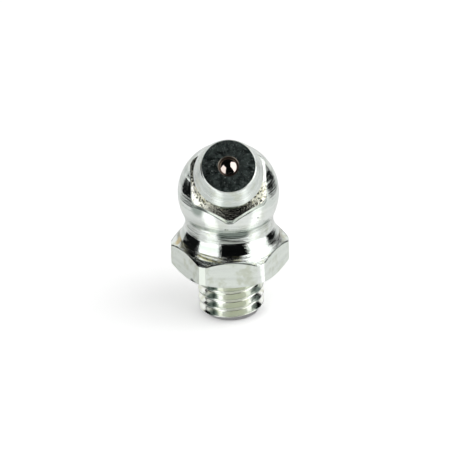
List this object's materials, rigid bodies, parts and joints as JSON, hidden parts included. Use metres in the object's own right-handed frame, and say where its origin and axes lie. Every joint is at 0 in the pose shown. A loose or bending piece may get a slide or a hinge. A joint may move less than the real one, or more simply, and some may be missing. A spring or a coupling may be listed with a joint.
{
  "type": "grease nipple",
  "caption": "Angled grease nipple: screwed shank, hexagon, ball-shaped end and a 45 degree coupling head with a sprung check ball.",
  "frame": {"origin": "on the thread axis, at the seat face under the hexagon", "axes": "+Z along the thread axis, from the screwed shank towards the ball-shaped end; the coupling head leans 45 degrees towards -Y; hexagon corners on X"},
  "size_m": [0.0112, 0.0129, 0.0203],
  "materials": {
    "zinc_plated_steel": "bright zinc plate over turned steel",
    "bearing_steel": "polished",
    "spring_steel": "drawn wire"
  },
  "bodies": {
    "nipple": {"nipple_body": "zinc_plated_steel", "coupling_head": "zinc_plated_steel", "ball_spring": "spring_steel"},
    "ball": {"check_ball": "bearing_steel"}
  },
  "joints": [
    {"name": "valve_travel", "type": "slide", "parent": "nipple", "child": "ball", "axis": [0, 0.7071, -0.7071], "range_m": [0, 0.0008], "stiffness_N_per_m": 500, "springref_m": -0.001, "deforming": ["ball_spring"]}
  ]
}
